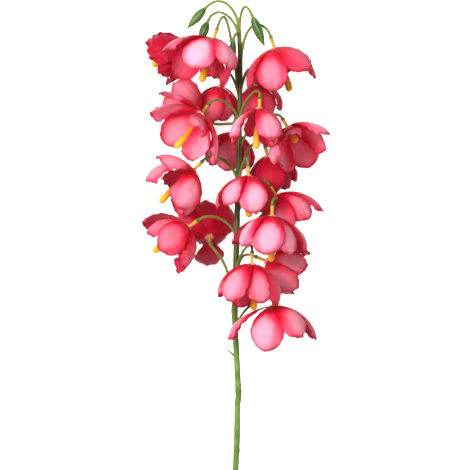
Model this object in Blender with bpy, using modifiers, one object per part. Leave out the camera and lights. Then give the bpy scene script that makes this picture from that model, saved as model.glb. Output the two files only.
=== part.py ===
"""Nodding orchid flower spike, cut from its plant and laid on a flat surface.

X runs across the spike, +Y from the cut end to the buds, and +Z up from the surface.
The origin is on the surface, under the middle of the spike. Sizes below are in millimetres.
"""

import math
import random
from collections import namedtuple

import bmesh
import bpy
from mathutils import Matrix, Vector

MM = 0.001
STEM_HEIGHT = 68.0      # the stem's axis over the surface that the spike lies on
TOUCH_GAP = 0.3         # left between two pieces that touch
PETAL_SEED = 11         # for the small differences between one petal and the next

# Green stem: (x, y, radius) along its axis, from the cut end to the fork under the top buds
STEM_AXIS = [
    (0.4, -284, 3.6), (2.2, -248, 3.7), (2.8, -205, 3.6), (4.0, -191, 3.7), (2.6, -160, 3.6),
    (1.2, -133, 3.7), (0.4, -119, 3.5), (-0.2, -90, 3.8), (1.6, -18, 3.6), (3.0, 42, 3.4),
    (5.2, 126, 3.0), (6.2, 198, 2.8), (5.2, 234, 2.6), (4.0, 260, 2.2),
]
STEM_STEPS = 2          # rings between two of the points above
STALK_RADIUS = 1.6
STALK_STEPS = 5
COLLAR_RADIUS = 2.9     # swollen green end of a stalk, which the flower's neck sits on
COLLAR_LENGTH = 4.0

# Short leaf stubs on the bare stem: name, path and its radii
SHEATHS = [
    ("sheath", [(0.0, -108, 0), (-1.2, -96, 1.5), (-3.6, -84, 3.0)], [3.4, 3.3, 0.9]),
    ("bract", [(0.0, -146, 0), (-7.0, -139.5, 3.0), (-11.5, -138, 4.0)], [1.6, 1.0, 0.35]),
]

# Yellow core: the neck outside the petals and the column inside them
NECK_LENGTH = 11.0
NECK_RADIUS = 2.3
COLUMN_LENGTH = 51.0
COLUMN_RADIUS = 3.3
COLUMN_PROFILE = [(0.3, 0.72), (0.6, 1.0), (0.88, 1.12), (1.0, 0.6)]
COLUMN_BOW = 6.0        # how far the column leans from the flower's axis at its middle

PETAL_THICKNESS = 0.9
HUB_WIDTH = 9.4
HUB_BOTTOM = -0.8
HUB_TOP = 3.6
CORE_CLEARANCE = 0.3

Form = namedtuple("Form", "length width root_angle tip_angle cup claw ruffle waves root_radius root_height "
                  "across rows")
SEPAL = Form(61, 38, 70, -38, 48, 0.11, 0.8, 1.5, 3.9, 0.4, 4, 4)
PETAL = Form(56, 35, 60, -38, 50, 0.11, 1.0, 2.0, 3.7, 1.2, 3, 3)
LIP = Form(38, 28, 34, 10, 56, 0.13, 2.6, 2.5, 3.7, 1.8, 2, 3)
WIDEST = 0.60           # how far along a petal it is widest
ROOT_OPENING = 15       # degrees that an open flower adds at a petal's root
TIP_OPENING = 60        # and at its tip

# Where each organ of a flower stands round its axis, in degrees from the dorsal sepal
WHORL = [(SEPAL, 0), (SEPAL, 120), (SEPAL, 240), (PETAL, 60), (PETAL, 300), (LIP, 180)]

LEVEL = (0, 0, 0, 0, 0, 0)
Bloom = namedtuple("Bloom", "name x y z heading lift roll opening size drop spread turn column arch bend",
                   defaults=[LEVEL, LEVEL, 1.0, 20, None])
# x, y, z: where neck and petals meet, z from the stem's axis. heading: the way the flower faces, in degrees
# from +X towards +Y. lift: how far it faces up. roll: turns the petals round the flower's axis, 0 with the
# dorsal sepal on top. drop: how far below the flower its stalk leaves the stem. spread and turn: how much
# further than the flower's opening and its place each organ of WHORL opens and turns. column: its share of
# COLUMN_LENGTH. arch: how far above the neck its stalk bends over. bend: where the stalk heads
# for as it leaves the stem, if not straight up
BLOOMS = [
    Bloom("bloom_01", -26, 233, 23, -108, 18, 22, 0.55, 1.15, 71, (-0.2, 0.15, -0.45, 0.45, 0.05, 0.3),
          (0, 0, 11, 0, 0, 0), column=0.9, arch=36, bend=(-8, 264, -4)),
    Bloom("bloom_02", -58, 229, -26, -152, -6, 20, 0.35, 0.96, 40),
    Bloom("bloom_03", 47, 224, 12, -72, -4, 26, 0.60, 1.08, 32, (-0.2, 0.3, -0.1, 0.4, 0.35, 0),
          (0, 0, 10, 0, 0, 0), bend=(7, 272, -6)),
    Bloom("bloom_04", 24, 182, -37, -78, -14, 30, 0.35, 0.84, 20),
    Bloom("bloom_05", -17.5, 180, -38, -99, -14, 20, 0.30, 0.85, 22),
    Bloom("bloom_06", 29, 151, 45, -92, 4, -28, 0.45, 0.94, 14, (0.2, 0, 0, 0.3, -0.2, 0), (0, 10, 0, 42, 0, 0)),
    Bloom("bloom_07", -43, 145, -15, 146, 4, 40, 0.40, 1.0, 21),
    Bloom("bloom_08", -40, 145, 27.5, -128, 20, 160, 0.80, 1.10, 10, (0, 0, 0.6, 0, 0.2, 0), (0, 0, 12, 0, 0, 0)),
    Bloom("bloom_09", 63.5, 129, -14.5, -60, 24, 180, 0.75, 1.01, 30, column=0.45),
    Bloom("bloom_10", -2, 124, -33.5, -98, -9, 0, 0.45, 0.94, 30),
    Bloom("bloom_11", 39.5, 96, -37.7, -75, -14, 10, 0.38, 0.92, 30, column=0.7),
    Bloom("bloom_12", -49, 78, 12, -134, 4, -26, 0.55, 1.10, 14, (0, 0, 0, 0.7, 0, 0), (0, -20, 0, 6, 0, 0)),
    Bloom("bloom_13", 16, 71, 36, -88, 2, -14, 0.30, 0.97, 20, (0, 0.5, 0, 0.4, -0.5, 0)),
    Bloom("bloom_14", 49, 48, -11, -58, 4, 24, 0.50, 1.06, 30, (0, 0, 0, 0, 0, 0), (0, 0, 14, 0, 0, 0), column=0.6),
    Bloom("bloom_15", 44, 23, 52, -92, 3, 6, 0.45, 1.06, 26, (0, 0.7, 0.3, 0.3, 0.1, 0),
          (0, 0, 14, 0, 0, 0), arch=12, bend=(70, 54, -3)),
    Bloom("bloom_16", -55, 10, 16, -145, 4, 0, 0.50, 1.02, 14, (0, 0, 0.3, 0, 0.3, 0)),
    Bloom("bloom_17", -31, -4, -19.2, 105, -58, 72, 0.65, 0.96, 96, (0, 0.7, 0, 0, 0, 0)),
    Bloom("bloom_18", 37, -31, -18, -22, -4, 30, 0.35, 1.0, 30, column=0.7),
    Bloom("bloom_19", 20, -34, 47, -91, 4, 38, 0.55, 1.08, 14, (0, -0.2, -0.15, 0.25, 0, 0),
          (0, 0, 10, 0, 0, 0)),
    Bloom("bloom_20", 46, -84, 27, -86, 0, 22, 0.60, 1.14, 30, (-0.2, 0.5, 0.2, -0.4, 0.1, 0),
          (0, -46, 0, -20, 0, 0), column=0.8, arch=5),
]

Bud = namedtuple("Bud", "name root_y rise top lean length width")
# root_y: where its stalk leaves the stem. top: x, y, z of the bud's upper end. lean: its heading in degrees
BUDS = [
    Bud("bud_01", 250, 44, (-35.5, 272, 4), -132, 33, 11.0),
    Bud("bud_02", 236, 46, (-33, 256, -6), -112, 27, 11.5),
    Bud("bud_03", 240, 10, (-1.8, 234, 10), -96, 44, 10.0),
    Bud("bud_04", 246, 44, (21, 261, 17), -68, 38, 12.0),
]

COLOURS = {
    "petals": (0.80, 0.13, 0.27),
    "core": (0.90, 0.55, 0.03),
    "green": (0.20, 0.33, 0.08),
    "bud": (0.11, 0.30, 0.06),
}
ROUGHNESS = 0.6


def clear_scene():
    for obj in list(bpy.data.objects):
        bpy.data.objects.remove(obj)


def make_material(name):
    material = bpy.data.materials.new(name)
    material.use_nodes = True
    shader = material.node_tree.nodes["Principled BSDF"]
    shader.inputs["Base Color"].default_value = (*COLOURS[name], 1)
    shader.inputs["Roughness"].default_value = ROUGHNESS
    material.diffuse_color = (*COLOURS[name], 1)
    return material


def link(collection, name, mesh, matrix=None):
    obj = bpy.data.objects.new(name, mesh)
    collection.objects.link(obj)
    if matrix is not None:
        obj.matrix_world = matrix
    return obj


def frozen(obj, weld=0.0):
    """Replaces obj with a plain mesh of what its modifiers or its curve make, welded up to a distance."""
    bpy.context.view_layer.update()
    graph = bpy.context.evaluated_depsgraph_get()
    mesh = bpy.data.meshes.new_from_object(obj.evaluated_get(graph))
    shell = bmesh.new()
    shell.from_mesh(mesh)
    if weld:
        bmesh.ops.remove_doubles(shell, verts=shell.verts, dist=weld * MM)
    bmesh.ops.recalc_face_normals(shell, faces=shell.faces)
    shell.to_mesh(mesh)
    shell.free()
    name = obj.name
    plain = link(obj.users_collection[0], name, mesh, obj.matrix_world.copy())
    bpy.data.objects.remove(obj)
    plain.name = name
    return plain


def paint(obj, material):
    """Gives the whole of obj one material."""
    obj.data.materials.clear()
    obj.data.materials.append(material)
    for polygon in obj.data.polygons:
        polygon.material_index = 0


def add_boolean(obj, operation, other):
    """Joins other, an object or a collection, to obj, or cuts it away."""
    modifier = obj.modifiers.new(operation.lower(), "BOOLEAN")
    modifier.operation = operation
    modifier.solver = "MANIFOLD"
    if isinstance(other, bpy.types.Collection):
        modifier.operand_type = "COLLECTION"
        modifier.collection = other
    else:
        modifier.object = other


def empty_collection(collection):
    for obj in list(collection.objects):
        bpy.data.objects.remove(obj)


def smooth_path(points, steps):
    """Points along a Catmull-Rom curve through the given vectors."""
    ends = [2 * points[0] - points[1], *points, 2 * points[-1] - points[-2]]
    path = []
    for i in range(1, len(ends) - 2):
        a, b, c, d = ends[i - 1:i + 3]
        for step in range(steps):
            t = step / steps
            path.append(0.5 * (2 * b + (c - a) * t + (2 * a - 5 * b + 4 * c - d) * t ** 2
                               + (3 * b - a - 3 * c + d) * t ** 3))
    return [*path, points[-1].copy()]


def bezier(a, b, c, d, steps):
    return [
        a * (1 - t) ** 3 + b * (3 * t * (1 - t) ** 2) + c * (3 * t * t * (1 - t)) + d * t ** 3
        for t in (i / steps for i in range(steps + 1))
    ]


def make_tube(collection, name, path, radii, bevel_resolution):
    """A round rod along path, a list of vectors in millimetres, with a radius for each."""
    curve = bpy.data.curves.new(name, "CURVE")
    curve.dimensions = "3D"
    curve.bevel_depth = MM
    curve.bevel_resolution = bevel_resolution
    curve.use_fill_caps = True
    curve.twist_mode = "MINIMUM"
    spline = curve.splines.new("POLY")
    spline.points.add(len(path) - 1)
    for point, place, radius in zip(spline.points, path, radii):
        point.co = (*(place * MM), 1)
        point.radius = radius
    return frozen(link(collection, name, curve), 0.01)


def facing(bloom):
    """Unit vector that a flower faces along."""
    heading = math.radians(bloom.heading)
    lift = math.radians(bloom.lift)
    return Vector((math.cos(heading) * math.cos(lift), math.sin(heading) * math.cos(lift), math.sin(lift)))


def bloom_base(bloom):
    return Vector((bloom.x, bloom.y, bloom.z + STEM_HEIGHT))


def bloom_matrix(bloom):
    """Places a flower: its own +Z is the way it faces, its own +X is where the dorsal sepal stands."""
    axis = facing(bloom)
    top = (Vector((0, 0, 1)) - axis * axis.z).normalized()
    side = axis.cross(top)
    turn = Matrix((top, side, axis)).transposed().to_4x4()
    return Matrix.Translation(bloom_base(bloom) * MM) @ turn @ Matrix.Rotation(math.radians(bloom.roll), 4, "Z")


def blade_width(v, claw):
    """Half width of a petal at v, from its claw at 0 to its round tip at 1, as a share of the widest."""
    rise = math.sin(math.pi / 2 * min(v / WIDEST, 1)) ** 1.15
    fall = math.sqrt(1 - (max(v - WIDEST, 0) / (1.04 - WIDEST)) ** 2)
    return (claw + (1 - claw) * rise) * fall


def blade_point(u, v, form, opening, drift):
    """Point of a petal that stands at azimuth 0. u runs -1 to 1 across it and v from 0 at the root to 1."""
    along = v * (1 - 0.10 * u * u * v ** 3)
    start = math.radians(form.root_angle + ROOT_OPENING * opening + drift[0])
    bend = math.radians(form.tip_angle + TIP_OPENING * opening + drift[1]) - start
    angle = start + bend * along
    out = form.root_radius + form.length * (math.cos(start) - math.cos(angle)) / bend
    up = form.root_height + form.length * (math.sin(angle) - math.sin(start)) / bend
    half = form.width / 2 * blade_width(v, form.claw)
    arc = math.radians(form.cup) * (0.35 + 0.65 * v)
    lateral = half * math.sin(arc * u) / math.sin(arc)
    inward = half * (1 - math.cos(arc * u)) / math.sin(arc)
    inward += form.ruffle * v * v * abs(u) * math.sin(math.pi * form.waves * (v + 0.35 * u) + drift[2])
    return Vector((out - inward * math.cos(angle), lateral, up + inward * math.sin(angle)))


def add_blade(collection, name, form, azimuth, opening, size, draw):
    """A petal as a thin solid: a grid bent to the petal's form, given its thickness."""
    drift = (draw.uniform(-4, 4), draw.uniform(-8, 8), draw.uniform(0, math.tau))
    turn = Matrix.Rotation(math.radians(azimuth + draw.uniform(-3, 3)), 3, "Z")
    grid = bmesh.new()
    bmesh.ops.create_grid(grid, x_segments=form.across, y_segments=form.rows, size=1)
    for vertex in grid.verts:
        u, v = vertex.co.x, (vertex.co.y + 1) / 2
        v = 1 - (1 - v) ** 1.25
        vertex.co = turn @ blade_point(u, v, form, opening, drift) * size * MM
    bmesh.ops.triangulate(grid, faces=grid.faces)
    mesh = bpy.data.meshes.new(name)
    grid.to_mesh(mesh)
    grid.free()
    blade = link(collection, name, mesh)
    wall = blade.modifiers.new("wall", "SOLIDIFY")
    wall.thickness = PETAL_THICKNESS * MM
    wall.offset = 0
    return frozen(blade)


def drop_specks(obj):
    """Keeps only the largest of obj's separate shells, since grazing petals can leave a loose crumb."""
    shell = bmesh.new()
    shell.from_mesh(obj.data)
    left, shells = set(shell.faces), []
    while left:
        edge = [left.pop()]
        found = set(edge)
        while edge:
            face = edge.pop()
            near = {other for side in face.edges for other in side.link_faces} & left
            left -= near
            found |= near
            edge.extend(near)
        shells.append(found)
    largest = max(shells, key=len)
    crumbs = [face for face in shell.faces if face not in largest]
    bmesh.ops.delete(shell, geom=crumbs, context="FACES")
    shell.to_mesh(obj.data)
    shell.free()


def add_hexagon(collection, name, across_flats, low, high):
    """A six-sided rod round the Z axis, one flat for each organ of the whorl."""
    rod = bmesh.new()
    radius = across_flats / 2 / math.cos(math.pi / 6) * MM
    place = Matrix.Translation((0, 0, (low + high) / 2 * MM)) @ Matrix.Rotation(math.pi / 6, 4, "Z")
    bmesh.ops.create_cone(rod, cap_ends=True, segments=6, radius1=radius, radius2=radius,
                          depth=(high - low) * MM, matrix=place)
    mesh = bpy.data.meshes.new(name)
    rod.to_mesh(mesh)
    rod.free()
    return link(collection, name, mesh)


def make_bloom(bloom, nodes, scrap, cutters, draw, material):
    """All of a flower's petals, fused to the ring that its yellow core passes through."""
    hub = add_hexagon(nodes, bloom.name, HUB_WIDTH * bloom.size, HUB_BOTTOM, HUB_TOP)
    for number, (form, azimuth) in enumerate(WHORL):
        opening = bloom.opening + bloom.spread[number]
        place = azimuth + bloom.turn[number]
        add_blade(scrap, f"{bloom.name}_blade_{number}", form, place, opening, bloom.size, draw)
    add_boolean(hub, "UNION", scrap)
    joined = frozen(hub)
    empty_collection(scrap)
    hole = add_hexagon(cutters, bloom.name + "_hole", 2 * (NECK_RADIUS + CORE_CLEARANCE), -9, 9)
    add_boolean(joined, "DIFFERENCE", hole)
    pierced = frozen(joined)
    drop_specks(pierced)
    bpy.data.objects.remove(hole)
    pierced.matrix_world = bloom_matrix(bloom)
    paint(pierced, material)
    return pierced


def make_core(bloom, nodes, material):
    """The yellow neck and column, one rod that goes through the petals' ring."""
    length = COLUMN_LENGTH * bloom.column
    path, radii = [Vector((0, 0, -NECK_LENGTH)), Vector((0, 0, 8))], [NECK_RADIUS, NECK_RADIUS]
    for along, share in COLUMN_PROFILE:
        lean = COLUMN_BOW * math.sin(math.pi * 0.8 * along)
        path.append(Vector((-lean, 0, 8 + (length - 8) * along)))
        radii.append(COLUMN_RADIUS * share)
    path = [place * bloom.size for place in path]
    core = make_tube(nodes, bloom.name.replace("bloom", "column"), path, radii, 1)
    core.matrix_world = bloom_matrix(bloom)
    paint(core, material)
    return core


def stem_path():
    points = [Vector((x, y, STEM_HEIGHT)) for x, y, _ in STEM_AXIS]
    radii = [Vector((radius, 0, 0)) for _, _, radius in STEM_AXIS]
    return smooth_path(points, STEM_STEPS), [r.x for r in smooth_path(radii, STEM_STEPS)]


def stem_point(y):
    """Point of the stem's axis at a given y."""
    path, _ = stem_path()
    for low, high in zip(path, path[1:]):
        if low.y <= y <= high.y:
            return low.lerp(high, (y - low.y) / (high.y - low.y))
    return path[0].copy() if y < path[0].y else path[-1].copy()


def stalk_path(bloom):
    """From inside the stem, up and out, then over and down to the end of the flower's neck."""
    axis = facing(bloom)
    end = bloom_base(bloom) - axis * (NECK_LENGTH * bloom.size + TOUCH_GAP)
    root = stem_point(bloom.y - bloom.drop)
    out = end - root
    out.y = 0
    rise = max(end.y - root.y, 6)
    leave = root + Vector((0, rise * 0.75 + 0.6 * (bloom.arch - 8), 0)) + out * 0.12
    if bloom.bend:
        leave = Vector(bloom.bend) + Vector((0, 0, STEM_HEIGHT))
    arrive = end - axis * bloom.arch
    return [*bezier(root, leave, arrive, end - axis * COLLAR_LENGTH, STALK_STEPS), end]


def collar_radii(count):
    """Radii of a stalk that swells into a collar over its last stretch."""
    return [STALK_RADIUS] * (count - 2) + [STALK_RADIUS * 1.2, COLLAR_RADIUS]


def bud_axis(bud):
    lean = math.radians(bud.lean)
    return Vector((math.cos(lean), math.sin(lean), 0))


def bud_stalk_path(bud):
    top = Vector((bud.top[0], bud.top[1], bud.top[2] + STEM_HEIGHT))
    end = top - bud_axis(bud) * TOUCH_GAP
    root = stem_point(bud.root_y)
    leave = root + Vector((0, bud.rise * 0.55, 0)) + (end - root) * 0.10
    arrive = end - bud_axis(bud) * bud.rise * 0.55
    return [*bezier(root, leave, arrive, end - bud_axis(bud) * 2, STALK_STEPS), end]


def make_stem(nodes, scrap, material):
    """The green stem with every stalk that grows from it."""
    path, radii = stem_path()
    stem = make_tube(nodes, "stem", path, radii, 1)
    for bloom in BLOOMS:
        route = stalk_path(bloom)
        make_tube(scrap, bloom.name + "_stalk", route, collar_radii(len(route)), 1)
    for bud in BUDS:
        route = bud_stalk_path(bud)
        make_tube(scrap, bud.name + "_stalk", route, [STALK_RADIUS] * len(route), 1)
    for name, route, radii in SHEATHS:
        path = [Vector((x, y, z + STEM_HEIGHT)) for x, y, z in route]
        make_tube(scrap, name, path, radii, 1)
    add_boolean(stem, "UNION", scrap)
    joined = frozen(stem)
    empty_collection(scrap)
    paint(joined, material)
    return joined


def make_bud(bud, nodes, material):
    """A closed bud: a turned spindle with a pointed tip, hanging along its own +Z."""
    shares = [(0.0, 0.30), (0.10, 0.62), (0.25, 0.92), (0.45, 1.0), (0.65, 0.80), (0.85, 0.40), (1.0, 0.10)]
    path = [Vector((0, 0, bud.length * along)) for along, _ in shares]
    radii = [bud.width / 2 * share for _, share in shares]
    body = make_tube(nodes, bud.name, path, radii, 2)
    axis = bud_axis(bud)
    top = Vector((bud.top[0], bud.top[1], bud.top[2] + STEM_HEIGHT))
    body.matrix_world = Matrix.Translation(top * MM) @ axis.to_track_quat("Z", "X").to_matrix().to_4x4()
    paint(body, material)
    return body


def flatten_on_surface(obj, table):
    """Cuts off what would reach below the surface that the spike lies on."""
    if min((obj.matrix_world @ vertex.co).z for vertex in obj.data.vertices) < 0:
        add_boolean(obj, "DIFFERENCE", table)
        return frozen(obj)
    return obj


def make_table(cutters):
    slab = bmesh.new()
    size = Matrix.Diagonal((0.8, 0.8, 0.1, 1))
    bmesh.ops.create_cube(slab, size=1, matrix=Matrix.Translation((0, 0, -0.05)) @ size)
    mesh = bpy.data.meshes.new("table")
    slab.to_mesh(mesh)
    slab.free()
    table = link(cutters, "table", mesh)
    table.hide_render = True
    table.display_type = "WIRE"
    return table


def new_collection(name):
    collection = bpy.data.collections.new(name)
    bpy.context.scene.collection.children.link(collection)
    return collection


def main():
    clear_scene()
    draw = random.Random(PETAL_SEED)
    nodes = new_collection("orchid_flower")
    scrap = new_collection("scrap")
    cutters = new_collection("cutters")
    petals, core, green, bud_green = (make_material(name) for name in ("petals", "core", "green", "bud"))
    table = make_table(cutters)
    make_stem(nodes, scrap, green)
    for bloom in BLOOMS:
        flatten_on_surface(make_bloom(bloom, nodes, scrap, cutters, draw, petals), table)
        make_core(bloom, nodes, core)
    for bud in BUDS:
        make_bud(bud, nodes, bud_green)


main()
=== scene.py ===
"""Nodding orchid flower spike, laid on a pale surface and seen from straight above.

The paths and forms repeat the sizes of the solids, in millimetres, and give them their fine shape:
waved and veined petals, pollen on the yellow columns, ridges on the stem, its stalks and the buds.
"""

import math
import random
from collections import namedtuple

import bpy
from mathutils import Matrix, Vector

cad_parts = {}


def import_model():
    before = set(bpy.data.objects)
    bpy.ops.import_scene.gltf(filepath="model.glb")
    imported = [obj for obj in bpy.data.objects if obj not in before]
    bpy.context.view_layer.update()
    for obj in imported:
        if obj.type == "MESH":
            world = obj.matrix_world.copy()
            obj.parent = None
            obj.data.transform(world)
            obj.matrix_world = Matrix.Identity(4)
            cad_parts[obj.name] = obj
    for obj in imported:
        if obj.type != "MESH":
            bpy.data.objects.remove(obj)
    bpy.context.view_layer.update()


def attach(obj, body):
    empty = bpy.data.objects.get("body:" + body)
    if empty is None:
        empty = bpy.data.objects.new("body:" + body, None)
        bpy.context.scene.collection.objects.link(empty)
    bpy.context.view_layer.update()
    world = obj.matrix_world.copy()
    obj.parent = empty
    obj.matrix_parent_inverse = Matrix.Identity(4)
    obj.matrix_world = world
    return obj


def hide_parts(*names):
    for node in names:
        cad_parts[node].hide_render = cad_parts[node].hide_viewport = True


MM = 0.001
STEM_HEIGHT = 68.0      # the stem's axis over the surface that the spike lies on
TOUCH_GAP = 0.3         # between pieces that meet
PETAL_SEED = 11         # of the small differences from petal to petal

# Green stem: (x, y, radius) along its axis, from the cut end to the fork under the top buds
STEM_AXIS = [
    (0.4, -284, 3.6), (2.2, -248, 3.7), (2.8, -205, 3.6), (4.0, -191, 3.7), (2.6, -160, 3.6),
    (1.2, -133, 3.7), (0.4, -119, 3.5), (-0.2, -90, 3.8), (1.6, -18, 3.6), (3.0, 42, 3.4),
    (5.2, 126, 3.0), (6.2, 198, 2.8), (5.2, 234, 2.6), (4.0, 260, 2.2),
]
STEM_STEPS = 24
# Rings and scars on the bare stem: y and how far they stand proud
STEM_RINGS = [
    (-258, 0.5), (-233, 0.6), (-199, 0.65), (-187.5, 0.6), (-180, 0.5), (-160, 0.3), (-119, 0.75),
]
RING_WIDTH = 1.3
STALK_RADIUS = 1.6
STALK_STEPS = 24
BUD_STALK_STEPS = 26
ROOT_TAPER = 2.5        # steps over which a stalk thins from its root on
# Swollen end of a flower's stalk: shares of its length, and how many times the stalk's radius
COLLAR_LENGTH = 4.0
COLLAR_PROFILE = [(0.3, 1.32), (0.55, 1.62), (0.8, 1.80), (0.95, 1.78), (1.0, 1.45)]
SHEATH_STEPS = 6
# Leaf sheath and bract: points from the stem's axis, and the radius at each
SHEATHS = [
    ([(0.0, -108, 0), (-1.2, -96, 1.5), (-2.6, -89, 2.4), (-3.7, -84, 3.0)], [3.4, 3.3, 2.2, 0.25]),
    ([(0.0, -146, 0), (-7.0, -139.5, 3.0), (-11.5, -138, 4.0)], [1.6, 1.0, 0.35]),
]

# Neck: heights over the place where the petals meet, and shares of its radius. Its foot reaches into the stalk
NECK_LENGTH = 11.0
NECK_RADIUS = 2.3
NECK_PROFILE = [(-NECK_LENGTH - 1.0, 0.9), (-NECK_LENGTH + 1.2, 1.0), (-5.0, 0.86), (2.0, 0.96)]
# Column: shares of its length from COLUMN_START on, and shares of its radius
COLUMN_START = 8.0
COLUMN_LENGTH = 51.0
COLUMN_RADIUS = 3.3
COLUMN_PROFILE = [(0.0, 0.70), (0.3, 0.72), (0.6, 1.0), (0.86, 1.28), (0.95, 1.15), (1.0, 0.55)]
UNDER_POLLEN = 0.96     # the bare column's share of its thickness with the pollen on it
COLUMN_BOW = 6.0        # how far it bows towards the lip
BOW_SHARE = 0.8         # of a half turn, so that its end comes part of the way back
ROD_STEPS = 8           # along a neck, a column or a bud, from point to point

# Ring that the petals grow from: shares of its radius, and heights, from its lower to its upper edge
HUB_SIDES = 28
HUB_RADIUS = 4.5
HUB_BORE = 2.7
HUB_PROFILE = [(0.70, -0.8), (0.92, -0.4), (1.0, 0.6), (0.97, 1.9), (0.86, 2.9), (0.70, 3.4)]

# Petal forms: lengths in millimetres, angles in degrees. cup: how far it wraps round. claw: the root's share of
# the width. waves: how many ripples run along its side, each as high as ruffle. frill: how much its rim is
# frilled. crease: how deep the furrow along the middle of its outer side is
Form = namedtuple("Form", "length width root_angle tip_angle cup claw ruffle waves root_radius root_height "
                  "frill crease")
SEPAL = Form(61, 38, 70, -38, 48, 0.11, 0.8, 1.5, 3.9, 0.4, 0.8, 0.9)
PETAL = Form(56, 35, 60, -38, 50, 0.11, 1.0, 2.0, 3.7, 1.2, 0.9, 0.6)
LIP = Form(38, 28, 34, 10, 56, 0.13, 2.6, 2.5, 3.7, 1.8, 1.5, 0.4)
# A flower's six organs, and the way each one points round its axis
WHORL = [(SEPAL, 0), (SEPAL, 120), (SEPAL, 240), (PETAL, 60), (PETAL, 300), (LIP, 180)]
PETAL_THICKNESS = 0.55
PETAL_ACROSS = 28       # faces from side to side
PETAL_ROWS = 36         # faces from root to tip
WIDEST = 0.60           # share of its length at which a petal is widest
SIDE_FRILLS = 4.6       # how many frills run along its side
END_FRILLS = 1.4        # and along its end
FURROW_WIDTH = 0.16     # of the furrow along its middle, as a share of its half width
WALLS_PART = 14.0       # how quickly its two walls part from the root and from the tip
ROOT_OPENING = 15       # degrees that a petal's root turns outward in a wide open flower
TIP_OPENING = 60        # and its tip
LAP_ANGLE = 13          # degrees that an inner petal's root turns further, where it lies over its neighbours

LEVEL = (0, 0, 0, 0, 0, 0)
Bloom = namedtuple("Bloom", "name x y z heading lift roll opening size drop spread turn column arch bend",
                   defaults=[LEVEL, LEVEL, 1.0, 20, None])
# x, y, z: where neck and petals meet, z from the stem's axis. heading: the way the flower faces, in degrees
# from +X towards +Y. lift: how far it faces up. roll: turns the petals round the flower's axis, 0 with the
# dorsal sepal on top. opening: 0 closed, 1 wide open. size: times the usual. drop: how far below the flower its
# stalk leaves the stem. spread and turn: how much further than the flower's opening and its place each organ of
# WHORL opens and turns. column: its share of COLUMN_LENGTH. arch: how far above the neck its stalk bends over.
# bend: where the stalk heads for
BLOOMS = [
    Bloom("bloom_01", -26, 233, 23, -108, 18, 22, 0.55, 1.15, 71, (-0.2, 0.15, -0.45, 0.45, 0.05, 0.3),
          (0, 0, 11, 0, 0, 0), column=0.9, arch=36, bend=(-8, 264, -4)),
    Bloom("bloom_02", -58, 229, -26, -152, -6, 20, 0.35, 0.96, 40),
    Bloom("bloom_03", 47, 224, 12, -72, -4, 26, 0.60, 1.08, 32, (-0.2, 0.3, -0.1, 0.4, 0.35, 0),
          (0, 0, 10, 0, 0, 0), bend=(7, 272, -6)),
    Bloom("bloom_04", 24, 182, -37, -78, -14, 30, 0.35, 0.84, 20),
    Bloom("bloom_05", -17.5, 180, -38, -99, -14, 20, 0.30, 0.85, 22),
    Bloom("bloom_06", 29, 151, 45, -92, 4, -28, 0.45, 0.94, 14, (0.2, 0, 0, 0.3, -0.2, 0),
          (0, 10, 0, 42, 0, 0)),
    Bloom("bloom_07", -43, 145, -15, 146, 4, 40, 0.40, 1.0, 21),
    Bloom("bloom_08", -40, 145, 27.5, -128, 20, 160, 0.80, 1.10, 10, (0, 0, 0.6, 0, 0.2, 0),
          (0, 0, 12, 0, 0, 0)),
    Bloom("bloom_09", 63.5, 129, -14.5, -60, 24, 180, 0.75, 1.01, 30, column=0.45),
    Bloom("bloom_10", -2, 124, -33.5, -98, -9, 0, 0.45, 0.94, 30),
    Bloom("bloom_11", 39.5, 96, -37.7, -75, -14, 10, 0.38, 0.92, 30, column=0.7),
    Bloom("bloom_12", -49, 78, 12, -134, 4, -26, 0.55, 1.10, 14, (0, 0, 0, 0.7, 0, 0),
          (0, -20, 0, 6, 0, 0)),
    Bloom("bloom_13", 16, 71, 36, -88, 2, -14, 0.30, 0.97, 20, (0, 0.5, 0, 0.4, -0.5, 0)),
    Bloom("bloom_14", 49, 48, -11, -58, 4, 24, 0.50, 1.06, 30, LEVEL, (0, 0, 14, 0, 0, 0), column=0.6),
    Bloom("bloom_15", 44, 23, 52, -92, 3, 6, 0.45, 1.06, 26, (0, 0.7, 0.3, 0.3, 0.1, 0),
          (0, 0, 14, 0, 0, 0), arch=12, bend=(70, 54, -3)),
    Bloom("bloom_16", -55, 10, 16, -145, 4, 0, 0.50, 1.02, 14, (0, 0, 0.3, 0, 0.3, 0)),
    Bloom("bloom_17", -31, -4, -19.2, 105, -58, 72, 0.65, 0.96, 96, (0, 0.7, 0, 0, 0, 0)),
    Bloom("bloom_18", 37, -31, -18, -22, -4, 30, 0.35, 1.0, 30, column=0.7),
    Bloom("bloom_19", 20, -34, 47, -91, 4, 38, 0.55, 1.08, 14, (0, -0.2, -0.15, 0.25, 0, 0),
          (0, 0, 10, 0, 0, 0)),
    Bloom("bloom_20", 46, -84, 27, -86, 0, 22, 0.60, 1.14, 30, (-0.2, 0.5, 0.2, -0.4, 0.1, 0),
          (0, -46, 0, -20, 0, 0), column=0.8, arch=5),
]

# root_y and rise: where its stalk leaves the stem, and how far it climbs. top: where the bud starts. lean: the
# way it points, in degrees from +X towards +Y
Bud = namedtuple("Bud", "name root_y rise top lean length width")
BUDS = [
    Bud("bud_01", 250, 44, (-35.5, 272, 4), -132, 33, 11.0),
    Bud("bud_02", 236, 46, (-33, 256, -6), -112, 27, 11.5),
    Bud("bud_03", 240, 10, (-1.8, 234, 10), -96, 44, 10.0),
    Bud("bud_04", 246, 44, (21, 261, 17), -68, 38, 12.0),
]
# Shares of a bud's length and of its half width. Its foot reaches into the stalk
BUD_PROFILE = [
    (0.0, 0.30), (0.05, 0.48), (0.10, 0.64), (0.25, 0.92), (0.45, 1.0), (0.65, 0.80), (0.85, 0.40),
    (0.95, 0.18), (1.0, 0.06),
]
BUD_FOOT = 0.8

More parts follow.
